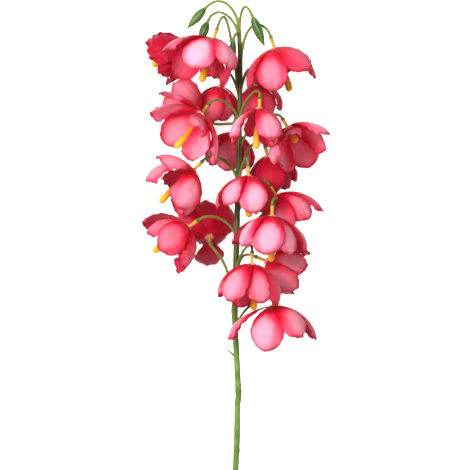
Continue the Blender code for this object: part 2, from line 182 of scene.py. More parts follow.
# How deep the crimson of each flower is: 0 pale pink, 1 dark. Partly each flower's own colour, partly painted
# shade: several flowers that lie low, behind the stem, are deeper
TONES_AND_SHADE = {
    "bloom_01": 0.0, "bloom_02": 1.15, "bloom_03": 0.40, "bloom_04": 0.75, "bloom_05": 0.60,
    "bloom_06": 0.05, "bloom_07": 0.30, "bloom_08": -0.35, "bloom_09": -0.15, "bloom_10": 0.25,
    "bloom_11": 0.90, "bloom_12": 0.20, "bloom_13": 0.0, "bloom_14": 0.35, "bloom_15": 0.0,
    "bloom_16": 0.45, "bloom_17": 0.70, "bloom_18": 0.30, "bloom_19": 0.20, "bloom_20": 0.05,
}
LIP_TONE = 0.50         # how much deeper the lips are
DARKEST = 1.2
# Petals that pass close by a neighbour, by their place in WHORL: change of root angle, curl and sway
PASSING = {
    ("bloom_01", 1): (3, 1.5, -2.0), ("bloom_05", 0): (0, 1.0, -3.2), ("bloom_07", 0): (-7, 2.5, 0.0),
    ("bloom_07", 2): (-4, 0.0, -1.0), ("bloom_10", 2): (0, 2.8, 1.0), ("bloom_14", 0): (-6, 0.0, 0.0),
    ("bloom_19", 5): (0, 2.5, 0.0), ("bloom_20", 1): (-3, 4.0, -3.6),
}
# How many times more these flowers' petals are frilled than the others
CRUMPLE = {
    "bloom_02": 3.2, "bloom_07": 1.8, "bloom_09": 1.3, "bloom_12": 1.3, "bloom_16": 2.0, "bloom_17": 1.6,
    "bloom_18": 1.6,
}


# ---------------------------------------------------------------- node trees

class Field:
    """A number in a node tree, so that a form or a pattern can be written as plain sums."""

    def __init__(self, tree, socket):
        self.tree, self.socket = tree, socket

    def calc(self, operation, *others):
        node = self.tree.nodes.new("ShaderNodeMath")
        node.operation = operation
        for slot, value in zip(node.inputs, (self, *others)):
            if isinstance(value, Field):
                self.tree.links.new(value.socket, slot)
            else:
                slot.default_value = value
        return Field(self.tree, node.outputs[0])

    def __add__(self, other):
        return self.calc("ADD", other)

    def __sub__(self, other):
        return self.calc("SUBTRACT", other)

    def __mul__(self, other):
        return self.calc("MULTIPLY", other)

    def __truediv__(self, other):
        return self.calc("DIVIDE", other)

    def __pow__(self, other):
        return self.calc("POWER", other)

    def __rsub__(self, other):
        return self * -1 + other

    __radd__ = __add__
    __rmul__ = __mul__

    def sine(self):
        return self.calc("SINE")

    def cosine(self):
        return self.calc("COSINE")

    def size(self):
        return self.calc("ABSOLUTE")

    def at_most(self, other):
        return self.calc("MINIMUM", other)

    def at_least(self, other):
        return self.calc("MAXIMUM", other)


def place(tree, kind, inputs=None, **settings):
    """Adds a node with its settings, and a value or a link for each of its named inputs."""
    node = tree.nodes.new(kind)
    for name, value in settings.items():
        setattr(node, name, value)
    for key, value in (inputs or {}).items():
        slot = node.inputs[key]
        if isinstance(value, Field):
            tree.links.new(value.socket, slot)
        elif isinstance(value, bpy.types.NodeSocket):
            tree.links.new(value, slot)
        else:
            slot.default_value = value
    return node


def field(tree, kind, inputs=None, **settings):
    """Adds a node and gives the number that it puts out first."""
    return Field(tree, place(tree, kind, inputs, **settings).outputs[0])


def vector(tree, x, y, z):
    """Three numbers as one vector."""
    return place(tree, "ShaderNodeCombineXYZ", {0: x, 1: y, 2: z}).outputs[0]


def smooth_step(tree, value, low, high, out_low=0.0, out_high=1.0):
    """Goes softly from out_low to out_high while the value goes from low to high."""
    node = place(tree, "ShaderNodeMapRange", {"Value": value, "From Min": low, "From Max": high,
                 "To Min": out_low, "To Max": out_high}, interpolation_type="SMOOTHSTEP")
    return Field(tree, node.outputs["Result"])


def noise(tree, where, scale, detail, seed=0.0):
    """Cloudy noise, about 0.5 on the whole."""
    node = place(tree, "ShaderNodeTexNoise", {"Vector": where, "Scale": scale, "Detail": detail, "W": seed},
                 noise_dimensions="4D")
    return Field(tree, node.outputs[0])


def new_tree(name, numbers, counts):
    """A geometry node tree that takes a shape, named numbers, whole counts and a material."""
    tree = bpy.data.node_groups.new(name, "GeometryNodeTree")
    tree.interface.new_socket("Geometry", in_out="INPUT", socket_type="NodeSocketGeometry")
    for title in numbers:
        tree.interface.new_socket(title, in_out="INPUT", socket_type="NodeSocketFloat")
    for title in counts:
        tree.interface.new_socket(title, in_out="INPUT", socket_type="NodeSocketInt")
    tree.interface.new_socket("Material", in_out="INPUT", socket_type="NodeSocketMaterial")
    tree.interface.new_socket("Geometry", in_out="OUTPUT", socket_type="NodeSocketGeometry")
    entry = tree.nodes.new("NodeGroupInput")
    sockets = {title: entry.outputs[title] for title in ("Geometry", *numbers, *counts, "Material")}
    given = {title: Field(tree, sockets[title]) for title in numbers}
    return tree, sockets, given


def finish_tree(tree, shape, material):
    """Ends a tree: loose copies made real, and one material over everything that it made."""
    real = place(tree, "GeometryNodeRealizeInstances", {"Geometry": shape}).outputs[0]
    dressed = place(tree, "GeometryNodeSetMaterial", {"Geometry": real, "Material": material}).outputs[0]
    leaving = tree.nodes.new("NodeGroupOutput")
    tree.links.new(dressed, leaving.inputs[0])
    return tree


def joined(tree, *shapes):
    """Several shapes as one."""
    join = place(tree, "GeometryNodeJoinGeometry")
    for shape in shapes:
        tree.links.new(shape, join.inputs[0])
    return join.outputs[0]


def keep_number(tree, shape, name, value, domain="POINT"):
    """Stores a number on the shape under a name that the material reads."""
    return place(tree, "GeometryNodeStoreNamedAttribute", {"Geometry": shape, "Name": name, "Value": value},
                 data_type="FLOAT", domain=domain).outputs[0]


def kept_number(tree, name):
    """Reads a number that keep_number stored."""
    return field(tree, "GeometryNodeInputNamedAttribute", {"Name": name}, data_type="FLOAT")


def petal_tree():
    """One petal: a sheet bent round the flower's axis, cupped, creased, waved and frilled."""
    numbers = ["Length", "Width", "Root Angle", "Tip Angle", "Cup", "Claw", "Ruffle", "Waves", "Root Radius",
               "Root Height", "Frill", "Crease", "Curl", "Sway", "Azimuth", "Phase", "Size", "Thickness",
               "Tone And Shade", "Seed", "Lip"]
    tree, sockets, given = new_tree("petal", numbers, ["Across", "Rows"])

    # a flat grid, closer near its sides and tip: u runs from side to side, -1 to 1, v from root to tip, 0 to 1
    grid = place(tree, "GeometryNodeMeshGrid", {"Size X": 2.0, "Size Y": 1.0, "Vertices X": sockets["Across"],
                 "Vertices Y": sockets["Rows"]}).outputs[0]
    spot = place(tree, "ShaderNodeSeparateXYZ", {0: place(tree, "GeometryNodeInputPosition").outputs[0]})
    spread = Field(tree, spot.outputs[0])
    sheet = keep_number(tree, grid, "across", spread * (1.12 - 0.12 * spread * spread))
    sheet = keep_number(tree, sheet, "along", 1 - (0.5 - Field(tree, spot.outputs[1])) ** 1.25)
    u, v = kept_number(tree, "across"), kept_number(tree, "along")
    edge = u.size()
    seed = given["Seed"]

    # the bend of its middle line, from the root's angle to the tip's, with an uneven tip
    waver = noise(tree, vector(tree, u * 1.3, v * 2.0, 0.0), 1.0, 2.0, seed) - 0.5
    rough_end = noise(tree, vector(tree, u * 3.0, 0.0, 0.0), 1.0, 2.0, seed + 5.0) - 0.5
    rough_side = noise(tree, vector(tree, u.calc("SIGN"), v * 5.0, 0.0), 1.0, 2.0, seed + 9.0) - 0.5
    beyond = ((v - WIDEST) / (1 - WIDEST)).at_least(0.0)
    bow = beyond * (math.pi / 4)
    along = v - u * u * (1 - WIDEST) * (beyond - bow.sine()) + 0.06 * rough_end * beyond ** 2
    start, finish = given["Root Angle"], given["Tip Angle"]
    bend = finish - start
    angle = start + bend * along
    out = given["Root Radius"] + given["Length"] * (start.cosine() - angle.cosine()) / bend
    up = given["Root Height"] + given["Length"] * (angle.sine() - start.sine()) / bend

    # its width and its cupping
    rise = ((v / WIDEST).at_most(1.0) * (math.pi / 2)).sine() ** 0.92
    claw = given["Claw"] + 0.06
    half = given["Width"] / 2 * (claw + (1 - claw) * rise) * bow.cosine() * (1 + 0.08 * rough_side)
    arc = given["Cup"] * (0.35 + 0.65 * v)
    lateral = half * (arc * u).sine() / arc.sine()
    inward = half * (1 - (arc * u).cosine()) / arc.sine()

    # ripples, a frilled and crinkled rim, the curl and sway of its tip, and a furrow along its middle
    ripple = (math.pi * given["Waves"] * (v + 0.35 * u) + given["Phase"]).sine()
    inward = inward + given["Ruffle"] * v * v * edge * ripple
    side_frill = (v * (math.tau * SIDE_FRILLS) + given["Phase"] * 3.0 + u * 2.0).sine() * edge ** 3 * v
    end_frill = (u * (math.tau * END_FRILLS) + given["Phase"] * 2.0).sine() * v ** 8
    inward = inward + given["Frill"] * (side_frill + end_frill) + waver * (2.0 + given["Frill"] * 2.0) * v
    crinkle = noise(tree, vector(tree, u * 5.0, v * 7.0, 3.0), 1.0, 2.0, seed) - 0.5
    inward = inward + crinkle * (edge ** 3).at_least(beyond ** 2) * (1.2 + given["Frill"])
    inward = inward + given["Curl"] * beyond * beyond - 1.1 * edge ** 7 * v * (1 - beyond)
    lateral = lateral + given["Sway"] * v * v
    furrow = (1 - edge / FURROW_WIDTH).at_least(0.0)
    inward = inward + given["Crease"] * furrow * furrow * (1 - 0.6 * v) * (v * 6.0).at_most(1.0)

    # its place round the flower's axis
    x = out - inward * angle.cosine()
    z = up + inward * angle.sine()
    turn = given["Azimuth"]
    scale = given["Size"] * MM
    point = vector(tree, (x * turn.cosine() - lateral * turn.sine()) * scale,
                   (x * turn.sine() + lateral * turn.cosine()) * scale, z * scale)
    sheet = place(tree, "GeometryNodeSetPosition", {"Geometry": sheet, "Position": point}).outputs[0]
    rim = place(tree, "FunctionNodeCompare", {0: field(tree, "GeometryNodeInputMeshEdgeNeighbors"), 1: 1.5},
                data_type="FLOAT", operation="LESS_THAN").outputs[0]
    crisp = place(tree, "GeometryNodeStoreNamedAttribute", {"Geometry": sheet, "Name": "sharp_edge",
                  "Value": rim}, data_type="BOOLEAN", domain="EDGE").outputs[0]

    # two walls, as far apart as the petal is thick, that meet at its rim
    thin = (1 - edge ** 6) * ((1 - v) * WALLS_PART).at_most(1.0) * (v * WALLS_PART).at_most(1.0)
    half_wall = given["Thickness"] * thin * (0.5 * MM)
    normal = place(tree, "GeometryNodeInputNormal").outputs[0]
    walls = []
    for inside, sign in ((1.0, -1.0), (0.0, 1.0)):
        shift = place(tree, "ShaderNodeVectorMath", {0: normal, "Scale": half_wall * sign}, operation="SCALE")
        wall = place(tree, "GeometryNodeSetPosition", {"Geometry": crisp, "Offset": shift.outputs[0]}).outputs[0]
        wall = keep_number(tree, wall, "inside", inside, "FACE")
        if inside:
            wall = place(tree, "GeometryNodeFlipFaces", {"Mesh": wall}).outputs[0]
        walls.append(wall)
    both = joined(tree, *walls)
    closed = place(tree, "GeometryNodeMergeByDistance", {"Geometry": both, "Distance": 2e-6})
    smooth = place(tree, "GeometryNodeSetShadeSmooth", {"Geometry": closed.outputs[0], "Shade Smooth": True})
    # the tone carries painted shade as well as each flower's own depth of crimson
    toned = keep_number(tree, smooth.outputs[0], "tone", given["Tone And Shade"])
    toned = keep_number(tree, toned, "petal_seed", seed)
    toned = keep_number(tree, toned, "lip", given["Lip"])
    return finish_tree(tree, joined(tree, toned, sockets["Geometry"]), sockets["Material"])


def stalk_tree():
    """Rods along the object's curves, as thick as the curve's radius, with lengthwise ridges."""
    numbers = ["Spacing", "Ridges", "Ridge Depth", "Lumps", "Lump Scale"]
    tree, sockets, given = new_tree("stalk", numbers, ["Sides"])
    path = place(tree, "GeometryNodeResampleCurve", {"Curve": sockets["Geometry"], "Length": given["Spacing"]},
                 mode="LENGTH").outputs[0]
    path = keep_number(tree, path, "along", field(tree, "GeometryNodeSplineParameter"))
    ring = place(tree, "GeometryNodeCurvePrimitiveCircle", {"Resolution": sockets["Sides"], "Radius": MM},
                 mode="RADIUS").outputs[0]
    ridge = (field(tree, "GeometryNodeSplineParameter") * given["Ridges"] * math.tau).cosine()
    ring = keep_number(tree, ring, "ridge", ridge)
    spot = place(tree, "GeometryNodeInputPosition").outputs[0]
    swell = place(tree, "ShaderNodeVectorMath", {0: spot, "Scale": ridge * given["Ridge Depth"]},
                  operation="SCALE").outputs[0]
    ring = place(tree, "GeometryNodeSetPosition", {"Geometry": ring, "Offset": swell}).outputs[0]
    radius = place(tree, "GeometryNodeInputRadius").outputs[0]
    path = keep_number(tree, path, "girth", Field(tree, radius))
    rod = place(tree, "GeometryNodeCurveToMesh", {"Curve": path, "Profile Curve": ring, "Scale": radius,
                "Fill Caps": True}).outputs[0]
    lump = noise(tree, spot, given["Lump Scale"], 3.0) - 0.5
    push = place(tree, "ShaderNodeVectorMath", {0: place(tree, "GeometryNodeInputNormal").outputs[0],
                 "Scale": lump * given["Lumps"]}, operation="SCALE").outputs[0]
    rod = place(tree, "GeometryNodeSetPosition", {"Geometry": rod, "Offset": push}).outputs[0]
    return finish_tree(tree, rod, sockets["Material"])


def pollen_tree():
    """Grains over the free end of a column, added to the column itself."""
    tree, sockets, given = new_tree("pollen", ["Density", "Grain Size", "From"], ["Seed"])
    thickening = 0.25
    share = smooth_step(tree, kept_number(tree, "along"), given["From"], given["From"] + thickening)
    spots = place(tree, "GeometryNodeDistributePointsOnFaces", {"Mesh": sockets["Geometry"],
                  "Density": given["Density"] * share, "Seed": sockets["Seed"]}, distribute_method="RANDOM")
    grain = place(tree, "GeometryNodeMeshIcoSphere", {"Radius": given["Grain Size"], "Subdivisions": 1})
    grain = place(tree, "GeometryNodeSetShadeSmooth", {"Geometry": grain.outputs[0], "Shade Smooth": True})
    stretch = place(tree, "FunctionNodeRandomValue", {"Min": (0.6, 0.6, 0.6), "Max": (1.1, 1.1, 1.3),
                    "Seed": sockets["Seed"]}, data_type="FLOAT_VECTOR").outputs[0]
    grains = place(tree, "GeometryNodeInstanceOnPoints", {"Points": spots.outputs["Points"],
                   "Instance": grain.outputs[0], "Rotation": spots.outputs["Rotation"],
                   "Scale": stretch}).outputs[0]
    return finish_tree(tree, joined(tree, grains, sockets["Geometry"]), sockets["Material"])


def grown(name, start, layers, matrix=None):
    """Runs node trees over a starting shape and keeps the result as a plain mesh object."""
    seedling = bpy.data.objects.new(name + "_start", start)
    bpy.context.scene.collection.objects.link(seedling)
    for tree, values in layers:
        modifier = seedling.modifiers.new(tree.name, "NODES")
        modifier.node_group = tree
        for item in tree.interface.items_tree:
            if item.item_type == "SOCKET" and item.in_out == "INPUT" and item.name in values:
                modifier[item.identifier] = values[item.name]
    bpy.context.view_layer.update()
    graph = bpy.context.evaluated_depsgraph_get()
    mesh = bpy.data.meshes.new_from_object(seedling.evaluated_get(graph), preserve_all_data_layers=True,
                                           depsgraph=graph)
    bpy.data.objects.remove(seedling)
    if matrix is not None:
        mesh.transform(matrix)
    mesh.name = name
    piece = bpy.data.objects.new(name, mesh)
    bpy.context.scene.collection.objects.link(piece)
    return piece


# ---------------------------------------------------------------- paths

def smooth_path(points, steps):
    """Points along a Catmull-Rom curve through the given vectors."""
    ends = [2 * points[0] - points[1], *points, 2 * points[-1] - points[-2]]
    path = []
    for i in range(1, len(ends) - 2):
        a, b, c, d = ends[i - 1:i + 3]
        for step in range(steps):
            t = step / steps
            path.append(0.5 * (2 * b + (c - a) * t + (2 * a - 5 * b + 4 * c - d) * t ** 2
                               + (3 * b - a - 3 * c + d) * t ** 3))
    return [*path, points[-1].copy()]


def smooth_rod(points, radii, steps):
    """A smooth path through points, with the radius at each of its places."""
    thick = smooth_path([Vector((radius, 0, 0)) for radius in radii], steps)
    return smooth_path(points, steps), [spot.x for spot in thick]


def bezier(a, b, c, d, steps):
    """Points along a curve from a to d that heads for b and arrives from c."""
    return [
        a * (1 - t) ** 3 + b * (3 * t * (1 - t) ** 2) + c * (3 * t * t * (1 - t)) + d * t ** 3
        for t in (i / steps for i in range(steps + 1))
    ]


def facing(bloom):
    """Unit vector that a flower faces along."""
    heading, lift = math.radians(bloom.heading), math.radians(bloom.lift)
    return Vector((math.cos(heading) * math.cos(lift), math.sin(heading) * math.cos(lift), math.sin(lift)))


def bloom_base(bloom):
    """The place where a flower's neck and petals meet."""
    return Vector((bloom.x, bloom.y, bloom.z + STEM_HEIGHT))


def bloom_matrix(bloom):
    """Places a flower: its own +Z is the way it faces, its own +X is where the dorsal sepal stands."""
    axis = facing(bloom)
    top = (Vector((0, 0, 1)) - axis * axis.z).normalized()
    side = axis.cross(top)
    turn = Matrix((top, side, axis)).transposed().to_4x4()
    return Matrix.Translation(bloom_base(bloom) * MM) @ turn @ Matrix.Rotation(math.radians(bloom.roll), 4, "Z")


def stem_path():
    """The stem's axis, and its radius with the rings."""
    path, radii = smooth_rod([Vector((x, y, STEM_HEIGHT)) for x, y, _ in STEM_AXIS],
                             [radius for _, _, radius in STEM_AXIS], STEM_STEPS)
    for y, proud in STEM_RINGS:
        radii = [radius + proud * math.exp(-((spot.y - y) / RING_WIDTH) ** 2)
                 for radius, spot in zip(radii, path)]
    return path, radii


def stem_point(y):
    """Point of the stem's axis at a given y."""
    path, _ = stem_path()
    for low, high in zip(path, path[1:]):
        if low.y <= y <= high.y:
            return low.lerp(high, (y - low.y) / (high.y - low.y))
    return path[0].copy() if y < path[0].y else path[-1].copy()


def stalk_path(bloom):
    """From inside the stem, up and out, then over and down to the end of the flower's neck."""
    axis = facing(bloom)
    end = bloom_base(bloom) - axis * (NECK_LENGTH * bloom.size + TOUCH_GAP)
    root = stem_point(bloom.y - bloom.drop)
    out = end - root
    out.y = 0
    rise = max(end.y - root.y, 6)
    # it climbs along the stem first, further where it arches high
    leave = root + Vector((0, rise * 0.75 + 0.6 * (bloom.arch - 8), 0)) + out * 0.12
    if bloom.bend:
        leave = Vector(bloom.bend) + Vector((0, 0, STEM_HEIGHT))
    arrive = end - axis * bloom.arch
    path = bezier(root, leave, arrive, end - axis * COLLAR_LENGTH, STALK_STEPS)
    radii = [STALK_RADIUS * (1 + 0.45 * math.exp(-i / ROOT_TAPER)) for i in range(len(path))]
    for share, swell in COLLAR_PROFILE:
        path.append(end - axis * COLLAR_LENGTH * (1 - share))
        radii.append(STALK_RADIUS * swell)
    return path, radii


def bud_axis(bud):
    """Unit vector that a bud points along."""
    lean = math.radians(bud.lean)
    return Vector((math.cos(lean), math.sin(lean), 0))


def bud_top(bud):
    """The place where a bud starts."""
    return Vector((bud.top[0], bud.top[1], bud.top[2] + STEM_HEIGHT))


def bud_stalk_path(bud):
    """From inside the stem, up and over, to the bud's foot."""
    end = bud_top(bud) - bud_axis(bud) * TOUCH_GAP
    root = stem_point(bud.root_y)
    leave = root + Vector((0, bud.rise * 0.55, 0)) + (end - root) * 0.10
    arrive = end - bud_axis(bud) * bud.rise * 0.55
    path = bezier(root, leave, arrive, end, BUD_STALK_STEPS)
    last = len(path) - 1
    return path, [STALK_RADIUS * (1 + 0.4 * math.exp(-i / ROOT_TAPER) + 0.25 * math.exp((i - last) / 1.2))
                  for i in range(len(path))]


def rod_curve(name, rods):
    """A curve object's data, with one line for each (path, radii), in millimetres."""
    curve = bpy.data.curves.new(name, "CURVE")
    curve.dimensions = "3D"
    curve.twist_mode = "MINIMUM"
    for path, radii in rods:
        line = curve.splines.new("POLY")
        line.points.add(len(path) - 1)
        for point, spot, radius in zip(line.points, path, radii):
            point.co = (*(spot * MM), 1)
            point.radius = radius
    return curve


# ---------------------------------------------------------------- materials

def new_material(name):
    """A material, its tree and its main shader."""
    material = bpy.data.materials.new(name)
    material.use_nodes = True
    return material, material.node_tree, material.node_tree.nodes["Principled BSDF"]


def mark(tree, name):
    """A number that the piece carries on its surface."""
    return Field(tree, place(tree, "ShaderNodeAttribute", attribute_name=name).outputs["Fac"])


def mixed(tree, share, low, high):
    """Colour between low and high, each a colour or a socket."""
    return place(tree, "ShaderNodeMix", {0: share, 6: low, 7: high}, data_type="RGBA").outputs[2]


def colour(red, green, blue):
    """An opaque colour."""
    return (red, green, blue, 1.0)


def new_mask_group(name, inputs, outputs):
    """A shader node group that turns named numbers, each with its usual value, into masks."""
    group = bpy.data.node_groups.new(name, "ShaderNodeTree")
    for title, value in inputs.items():
        slot = group.interface.new_socket(title, in_out="INPUT", socket_type="NodeSocketFloat")
        slot.default_value = value
    for title in outputs:
        group.interface.new_socket(title, in_out="OUTPUT", socket_type="NodeSocketFloat")
    return group, group.nodes.new("NodeGroupInput"), group.nodes.new("NodeGroupOutput")


def streak_group():
    """Fine lines and broad bands that run along a petal, with broken edges."""
    usual = {"Across": 0.0, "Along": 0.0, "Count": 20.0, "Waver": 0.3, "Seed": 0.0}
    group, entry, leaving = new_mask_group("lengthwise_streaks", usual, ("Lines", "Bands"))
    across, along, count, waver, seed = (Field(group, entry.outputs[i]) for i in range(5))
    drift = noise(group, vector(group, across * 2.0, along * 3.0, seed), 1.0, 2.0) - 0.5
    wavering = across * count + drift * waver * count * 0.35
    lines = 1 - (wavering.calc("FRACT") - 0.5).size() * 2.0
    broken = noise(group, vector(group, across * 6.0, along * 4.0, seed + 3.0), 1.0, 3.0)
    bands = noise(group, vector(group, across * 7.0, along * 0.9, seed + 7.0), 1.0, 4.0)
    group.links.new((lines ** 3 * broken * 1.6).socket, leaving.inputs["Lines"])
    group.links.new(bands.socket, leaving.inputs["Bands"])
    return group


def blotch_group():
    """Soft uneven patches and fine grain, in the piece's own space."""
    usual = {"Patch Scale": 60.0, "Grain Scale": 900.0}
    group, entry, leaving = new_mask_group("patches_and_grain", usual, ("Patches", "Grain"))
    where = place(group, "ShaderNodeTexCoord").outputs["Object"]
    for title, mask, detail in (("Patch Scale", "Patches", 3.0), ("Grain Scale", "Grain", 2.0)):
        cloud = place(group, "ShaderNodeTexNoise", {"Vector": where, "Scale": entry.outputs[title],
                      "Detail": detail})
        group.links.new(cloud.outputs[0], leaving.inputs[mask])
    return group


def use_group(tree, group, inputs):
    """Places a group in a material with its own values, and gives the masks that it puts out."""
    return [Field(tree, mask) for mask in place(tree, "ShaderNodeGroup", inputs, node_tree=group).outputs]


def raised(tree, shader, height, distance, strength):
    """Fine relief, too small for the mesh."""
    bump = place(tree, "ShaderNodeBump", {"Height": height, "Distance": distance, "Strength": strength})
    tree.links.new(bump.outputs[0], shader.inputs["Normal"])


def petal_material(streaks, blotches):
    """Crimson at the root and inside, pink to nearly white further out, with veins, stripes and a dark rim; a
    painted highlight in each petal's middle, painted shade on petals turned from the light and a faint painted
    crimson glow.
    """
    material, tree, shader = new_material("petal")
    u, v = mark(tree, "across"), mark(tree, "along")
    inside, tone, seed = mark(tree, "inside"), mark(tree, "tone"), mark(tree, "petal_seed")
    lines, bands = use_group(tree, streaks, {"Across": u, "Along": v, "Count": 9.0, "Waver": 0.35, "Seed": seed})
    cloud, grain = use_group(tree, blotches, {"Patch Scale": 70.0, "Grain Scale": 1500.0})
    edge = u.size()
    aside = (seed * 2.7).sine() * 0.16

    # crimson root, pink body, pale middle with a painted highlight on it
    reach = v - 0.34 * edge ** 2.2 + aside * u * v + 0.32 * (bands - 0.5) + 0.22 * (cloud - 0.5)
    flush = smooth_step(tree, reach, 0.0, 0.34)
    pale = smooth_step(tree, reach, 0.24, 0.72) * (1 - tone)
    root = mixed(tree, flush, colour(0.44, 0.001, 0.006), colour(0.72, 0.004, 0.030))
    body = mixed(tree, smooth_step(tree, reach, 0.12, 0.48), root, colour(0.82, 0.036, 0.098))
    light = mixed(tree, pale, body, colour(0.92, 0.165, 0.265))
    # painted highlight: a pale patch in each petal's middle, where a lit dome would shine
    off_middle = ((v - 0.66) / 0.40) ** 2 + ((u - aside * 1.5) / 0.76) ** 2
    off_middle = off_middle + 0.7 * (cloud - 0.5) + 0.8 * (bands - 0.5)
    painted_highlight = smooth_step(tree, off_middle, 0.05, 1.0, 1.0, 0.0) * (1 - tone)
    with_painted_highlight = mixed(tree, painted_highlight * 0.92, light, colour(0.98, 0.41, 0.53))

    # deeper flowers and painted shade on petals turned away from the light, darkest where the tone is highest;
    # insides, veins, the lip's stripes, the darker rim and the pale heel
    deep_and_shaded = mixed(tree, tone * 0.65, with_painted_highlight, colour(0.60, 0.003, 0.022))
    deepest_and_shaded = mixed(tree, smooth_step(tree, tone, 0.65, 1.2, 0.0, 0.65), deep_and_shaded, colour(0.26, 0.002, 0.014))
    lining = inside * smooth_step(tree, reach, 0.35, 0.85, 0.62, 0.36)
    lining = lining * smooth_step(tree, tone, -0.2, 0.35, 0.25, 1.0)
    inner = mixed(tree, lining, deepest_and_shaded, colour(0.70, 0.010, 0.046))
    veined = mixed(tree, (lines * (0.20 + 0.16 * inside)).at_most(1.0), inner, colour(0.50, 0.015, 0.07))
    striped = mixed(tree, (lines * mark(tree, "lip") * 0.6).at_most(0.6), veined, colour(0.92, 0.45, 0.60))
    rim = smooth_step(tree, edge.at_least(v) + 0.06 * (bands - 0.5), 0.89, 1.0)
    rimmed = mixed(tree, rim * 0.85, striped, colour(0.37, 0.010, 0.018))
    heel = smooth_step(tree, v, 0.0, 0.045, 1.0, 0.0)
    final = mixed(tree, heel * 0.6, rimmed, colour(0.90, 0.52, 0.44))

    tree.links.new(final, shader.inputs["Base Color"])
    tree.links.new((0.46 + 0.22 * (cloud - 0.5) + 0.08 * bands).socket, shader.inputs["Roughness"])
    shader.inputs["Sheen Weight"].default_value = 0.03
    shader.inputs["Sheen Roughness"].default_value = 0.4
    shader.inputs["Sheen Tint"].default_value = colour(1.0, 0.85, 0.9)
    shader.inputs["Subsurface Weight"].default_value = 0.40
    shader.inputs["Subsurface Radius"].default_value = (1.0, 0.22, 0.28)
    shader.inputs["Subsurface Scale"].default_value = 0.004
    shader.inputs["Specular IOR Level"].default_value = 0.07
    # painted glow: a faint crimson emission lightens the petals' shade as if light came through them
    shader.inputs["Emission Color"].default_value = colour(0.85, 0.015, 0.055)
    shader.inputs["Emission Strength"].default_value = 0.055
    raised(tree, shader, lines * -0.25 + bands * 0.6 + grain * 0.15, 0.0004, 0.6)
    return material


def core_material(blotches):
    """Yellow neck, greener by the stalk, and an orange column with bright yellow pollen at its end."""
    material, tree, shader = new_material("yellow_core")
    along = mark(tree, "along")
    cloud, grain = use_group(tree, blotches, {"Patch Scale": 160.0, "Grain Scale": 1400.0})
    reach = along + 0.10 * (cloud - 0.5)
    neck = mixed(tree, smooth_step(tree, reach, 0.0, 0.10), colour(0.36, 0.30, 0.025), colour(0.62, 0.34, 0.025))
    column = mixed(tree, smooth_step(tree, reach, 0.22, 0.50), neck, colour(0.74, 0.23, 0.006))
    end = mixed(tree, smooth_step(tree, reach, 0.62, 0.98), column, colour(0.90, 0.45, 0.012))
    speck = mixed(tree, smooth_step(tree, grain, 0.52, 0.70, 0.0, 0.45), end, colour(0.60, 0.14, 0.006))
    tree.links.new(speck, shader.inputs["Base Color"])
    tree.links.new((0.55 + 0.3 * (cloud - 0.5)).socket, shader.inputs["Roughness"])
    shader.inputs["Subsurface Weight"].default_value = 0.12
    shader.inputs["Subsurface Radius"].default_value = (1.0, 0.6, 0.2)
    shader.inputs["Subsurface Scale"].default_value = 0.001
    raised(tree, shader, grain * 0.7 + cloud * 0.3, 0.0005, 0.8)
    return material


def stem_material(blotches):
    """Fresh green low on the stem, darker olive between the flowers, with pale ribs and brown scars."""
    material, tree, shader = new_material("green_stem")
    where = place(tree, "ShaderNodeTexCoord").outputs["Object"]
    spot = place(tree, "ShaderNodeSeparateXYZ", {0: where})
    x, y, z = (Field(tree, output) for output in spot.outputs)
    ridge = mark(tree, "ridge")
    cloud, grain = use_group(tree, blotches, {"Patch Scale": 55.0, "Grain Scale": 1300.0})
    fine, lengthwise = 1500.0, 70.0
    fibre = noise(tree, vector(tree, x * fine, y * lengthwise, z * fine), 1.0, 3.0)
    height = y + 0.05 * (cloud - 0.5)
    low = mixed(tree, smooth_step(tree, cloud, 0.34, 0.66), colour(0.080, 0.175, 0.024),
                colour(0.175, 0.29, 0.060))
    olive = mixed(tree, cloud, colour(0.085, 0.100, 0.014), colour(0.21, 0.22, 0.036))
    dark = mixed(tree, smooth_step(tree, cloud, 0.3, 0.7), colour(0.030, 0.036, 0.008),
                 colour(0.085, 0.100, 0.020))
    high = mixed(tree, smooth_step(tree, mark(tree, "girth"), 2.0, 2.7), olive, dark)
    body = mixed(tree, smooth_step(tree, height, -0.120, -0.065), low, high)
    top = mixed(tree, smooth_step(tree, height, 0.20, 0.27), body, colour(0.165, 0.205, 0.028))
    ribbed = mixed(tree, smooth_step(tree, ridge + 0.6 * (fibre - 0.5), 0.2, 1.0, 0.0, 0.35), top,
                   colour(0.23, 0.29, 0.055))
    worn = mixed(tree, smooth_step(tree, cloud * 0.6 + fibre * 0.4, 0.56, 0.72, 0.0, 0.5), ribbed,
                 colour(0.13, 0.075, 0.020))
    tree.links.new(worn, shader.inputs["Base Color"])
    tree.links.new((0.50 + 0.25 * (fibre - 0.5)).socket, shader.inputs["Roughness"])
    shader.inputs["Specular IOR Level"].default_value = 0.22
    raised(tree, shader, fibre * 0.7 + grain * 0.3, 0.0004, 0.7)
    return material


